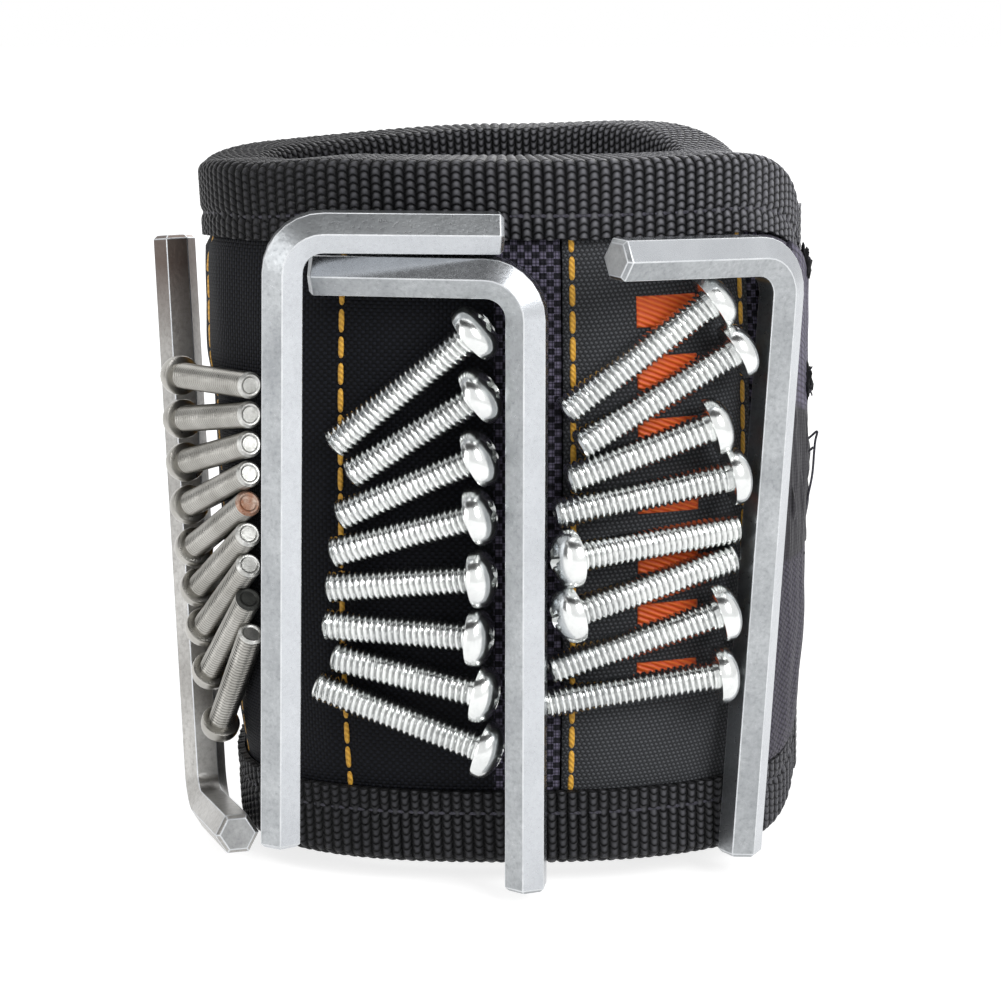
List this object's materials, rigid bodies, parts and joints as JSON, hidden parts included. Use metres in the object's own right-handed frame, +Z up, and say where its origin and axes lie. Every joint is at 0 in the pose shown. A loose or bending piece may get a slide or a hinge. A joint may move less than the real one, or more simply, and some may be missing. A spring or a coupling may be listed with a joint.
{
  "type": "magnetic wristband",
  "caption": "Padded fabric wristband with sewn-in magnet panels, webbing-bound edges and a hook-and-loop strap, holding hex keys and machine screws",
  "frame": {"origin": "under the middle of the whole, at its lowest point", "axes": "+Z up along the band as it stands, -Y towards the viewer of the front, +X to the viewer's right"},
  "size_m": [0.088, 0.0764, 0.0941],
  "materials": {
    "ballistic_cloth": "basket-woven ballistic nylon",
    "label_cloth": "fine plain-woven nylon",
    "padding": "felted padding",
    "lining_mesh": "open spacer mesh",
    "binding_webbing": "ribbed webbing",
    "strap_webbing": "coarse webbing",
    "loop_pile": "napped loop pile",
    "hook_tape": "moulded hooks",
    "magnet_plate": "sintered magnet",
    "plated_key": "bright zinc plate",
    "plated_screw": "bright zinc plate"
  },
  "bodies": {
    "band": {"outer_cover": "ballistic_cloth", "label_panel": "label_cloth", "corner_cover": "ballistic_cloth", "foam_pad": "padding", "mesh_lining": "lining_mesh", "magnet_1": "magnet_plate", "magnet_2": "magnet_plate", "magnet_3": "magnet_plate", "magnet_4": "magnet_plate", "magnet_5": "magnet_plate", "magnet_6": "magnet_plate", "magnet_7": "magnet_plate", "magnet_8": "magnet_plate", "magnet_9": "magnet_plate", "magnet_10": "magnet_plate", "top_binding": "binding_webbing", "bottom_binding": "binding_webbing", "inner_end_binding": "binding_webbing", "outer_end_binding": "binding_webbing", "strap_anchor_patch": "strap_webbing", "loop_pad": "loop_pile"},
    "strap_root": {"strap_root": "strap_webbing"},
    "strap_tip": {"strap_tip": "strap_webbing", "strap_hook_tape": "hook_tape"},
    "hex_key_side": {"hex_key_side": "plated_key"},
    "hex_key_left": {"hex_key_left": "plated_key"},
    "hex_key_middle": {"hex_key_middle": "plated_key"},
    "hex_key_right": {"hex_key_right": "plated_key"},
    "screw_left_1": {"screw_left_1": "plated_screw"},
    "screw_left_2": {"screw_left_2": "plated_screw"},
    "screw_left_3": {"screw_left_3": "plated_screw"},
    "screw_left_4": {"screw_left_4": "plated_screw"},
    "screw_left_5": {"screw_left_5": "plated_screw"},
    "screw_left_6": {"screw_left_6": "plated_screw"},
    "screw_left_7": {"screw_left_7": "plated_screw"},
    "screw_left_8": {"screw_left_8": "plated_screw"},
    "screw_left_9": {"screw_left_9": "plated_screw"},
    "screw_middle_1": {"screw_middle_1": "plated_screw"},
    "screw_middle_2": {"screw_middle_2": "plated_screw"},
    "screw_middle_3": {"screw_middle_3": "plated_screw"},
    "screw_middle_4": {"screw_middle_4": "plated_screw"},
    "screw_middle_5": {"screw_middle_5": "plated_screw"},
    "screw_middle_6": {"screw_middle_6": "plated_screw"},
    "screw_middle_7": {"screw_middle_7": "plated_screw"},
    "screw_middle_8": {"screw_middle_8": "plated_screw"},
    "screw_right_1": {"screw_right_1": "plated_screw"},
    "screw_right_2": {"screw_right_2": "plated_screw"},
    "screw_right_3": {"screw_right_3": "plated_screw"},
    "screw_right_4": {"screw_right_4": "plated_screw"},
    "screw_right_5": {"screw_right_5": "plated_screw"},
    "screw_right_6": {"screw_right_6": "plated_screw"},
    "screw_right_7": {"screw_right_7": "plated_screw"},
    "screw_right_8": {"screw_right_8": "plated_screw"}
  },
  "joints": [
    {"name": "strap_open", "type": "hinge", "parent": "band", "child": "strap_root", "pos_m": [0.04004, 0.00078, 0.04954], "axis": [0.0094, 0.0016, -1], "range_deg": [0, 80]},
    {"name": "strap_peel", "type": "hinge", "parent": "strap_root", "child": "strap_tip", "pos_m": [0.03637, 0.01827, 0.04954], "axis": [0.0102, -0.0084, -0.9999], "range_deg": [0, 60]},
    {"name": "key_lift_side", "type": "slide", "parent": "band", "child": "hex_key_side", "axis": [-1, 0, 0], "range_m": [0, 0.03]},
    {"name": "key_lift_left", "type": "slide", "parent": "band", "child": "hex_key_left", "axis": [0, -1, 0], "range_m": [0, 0.03]},
    {"name": "key_lift_middle", "type": "slide", "parent": "band", "child": "hex_key_middle", "axis": [0, -1, 0], "range_m": [0, 0.03]},
    {"name": "key_lift_right", "type": "slide", "parent": "band", "child": "hex_key_right", "axis": [0.5878, -0.809, 0], "range_m": [0, 0.03]},
    {"name": "screw_lift_left_1", "type": "slide", "parent": "band", "child": "screw_left_1", "axis": [-0.9205, -0.3907, 0], "range_m": [0, 0.03]},
    {"name": "screw_lift_left_2", "type": "slide", "parent": "band", "child": "screw_left_2", "axis": [-0.9205, -0.3907, 0], "range_m": [0, 0.03]},
    {"name": "screw_lift_left_3", "type": "slide", "parent": "band", "child": "screw_left_3", "axis": [-0.9205, -0.3907, 0], "range_m": [0, 0.03]},
    {"name": "screw_lift_left_4", "type": "slide", "parent": "band", "child": "screw_left_4", "axis": [-0.9205, -0.3907, 0], "range_m": [0, 0.03]},
    {"name": "screw_lift_left_5", "type": "slide", "parent": "band", "child": "screw_left_5", "axis": [-0.9205, -0.3907, 0], "range_m": [0, 0.03]},
    {"name": "screw_lift_left_6", "type": "slide", "parent": "band", "child": "screw_left_6", "axis": [-0.9205, -0.3907, 0], "range_m": [0, 0.03]},
    {"name": "screw_lift_left_7", "type": "slide", "parent": "band", "child": "screw_left_7", "axis": [-0.9205, -0.3907, 0], "range_m": [0, 0.03]},
    {"name": "screw_lift_left_8", "type": "slide", "parent": "band", "child": "screw_left_8", "axis": [-0.9205, -0.3907, 0], "range_m": [0, 0.03]},
    {"name": "screw_lift_left_9", "type": "slide", "parent": "band", "child": "screw_left_9", "axis": [-0.9205, -0.3907, 0], "range_m": [0, 0.03]},
    {"name": "screw_lift_middle_1", "type": "slide", "parent": "band", "child": "screw_middle_1", "axis": [0, -1, 0], "range_m": [0, 0.03]},
    {"name": "screw_lift_middle_2", "type": "slide", "parent": "band", "child": "screw_middle_2", "axis": [0, -1, 0], "range_m": [0, 0.03]},
    {"name": "screw_lift_middle_3", "type": "slide", "parent": "band", "child": "screw_middle_3", "axis": [0, -1, 0], "range_m": [0, 0.03]},
    {"name": "screw_lift_middle_4", "type": "slide", "parent": "band", "child": "screw_middle_4", "axis": [0, -1, 0], "range_m": [0, 0.03]},
    {"name": "screw_lift_middle_5", "type": "slide", "parent": "band", "child": "screw_middle_5", "axis": [0, -1, 0], "range_m": [0, 0.03]},
    {"name": "screw_lift_middle_6", "type": "slide", "parent": "band", "child": "screw_middle_6", "axis": [0, -1, 0], "range_m": [0, 0.03]},
    {"name": "screw_lift_middle_7", "type": "slide", "parent": "band", "child": "screw_middle_7", "axis": [0, -1, 0], "range_m": [0, 0.03]},
    {"name": "screw_lift_middle_8", "type": "slide", "parent": "band", "child": "screw_middle_8", "axis": [0, -1, 0], "range_m": [0, 0.03]},
    {"name": "screw_lift_right_1", "type": "slide", "parent": "band", "child": "screw_right_1", "axis": [0, -1, 0], "range_m": [0, 0.03]},
    {"name": "screw_lift_right_2", "type": "slide", "parent": "band", "child": "screw_right_2", "axis": [0, -1, 0], "range_m": [0, 0.03]},
    {"name": "screw_lift_right_3", "type": "slide", "parent": "band", "child": "screw_right_3", "axis": [0, -1, 0], "range_m": [0, 0.03]},
    {"name": "screw_lift_right_4", "type": "slide", "parent": "band", "child": "screw_right_4", "axis": [0, -1, 0], "range_m": [0, 0.03]},
    {"name": "screw_lift_right_5", "type": "slide", "parent": "band", "child": "screw_right_5", "axis": [0, -1, 0], "range_m": [0, 0.03]},
    {"name": "screw_lift_right_6", "type": "slide", "parent": "band", "child": "screw_right_6", "axis": [0, -1, 0], "range_m": [0, 0.03]},
    {"name": "screw_lift_right_7", "type": "slide", "parent": "band", "child": "screw_right_7", "axis": [0.2588, -0.9659, 0], "range_m": [0, 0.03]},
    {"name": "screw_lift_right_8", "type": "slide", "parent": "band", "child": "screw_right_8", "axis": [0.2588, -0.9659, 0], "range_m": [0, 0.03]}
  ]
}
